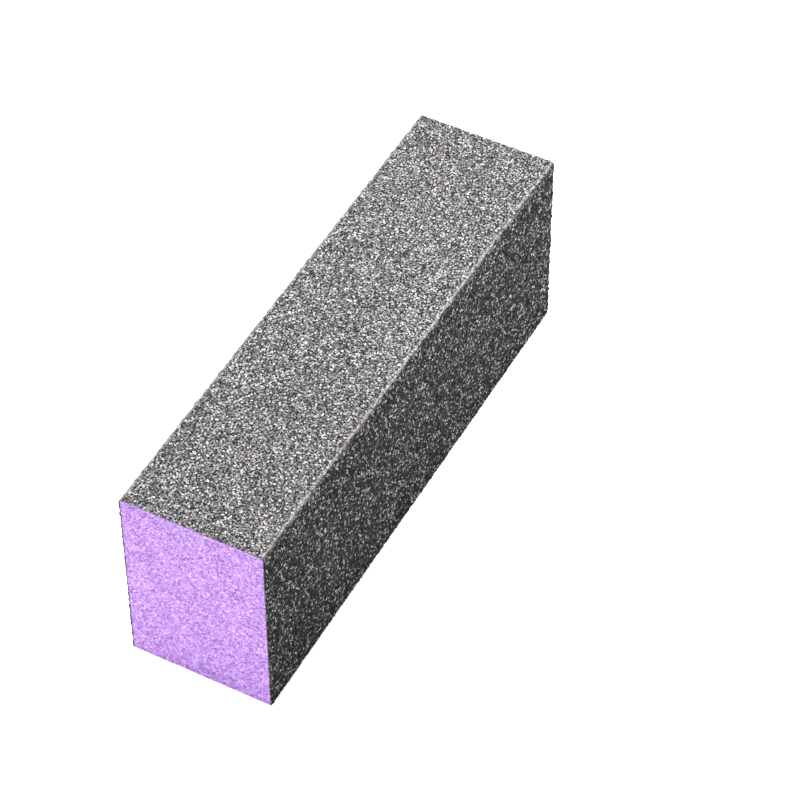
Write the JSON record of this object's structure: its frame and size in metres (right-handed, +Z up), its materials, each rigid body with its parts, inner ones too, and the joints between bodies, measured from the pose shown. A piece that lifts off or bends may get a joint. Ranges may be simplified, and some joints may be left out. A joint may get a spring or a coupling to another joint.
{
  "type": "nail buffer block",
  "caption": "Hand-held block for filing and buffing nails: a firm purple foam bar with dark abrasive grain on its top and long sides, and bare foam on its underside and ends.",
  "frame": {"origin": "centre of the bare underside that the block stands on", "axes": "+Z up towards the abrasive top, +X along the block's length, and -Y towards the front abrasive side"},
  "size_m": [0.095, 0.025, 0.035],
  "materials": {
    "purple_foam": "matte",
    "bond_resin": "satin",
    "abrasive_grain": "matte"
  },
  "bodies": {
    "root": {"foam_core": "purple_foam", "top_bond_coat": "bond_resin", "front_bond_coat": "bond_resin", "back_bond_coat": "bond_resin", "top_grit_coat": "abrasive_grain", "front_grit_coat": "abrasive_grain", "back_grit_coat": "abrasive_grain"}
  },
  "joints": []
}
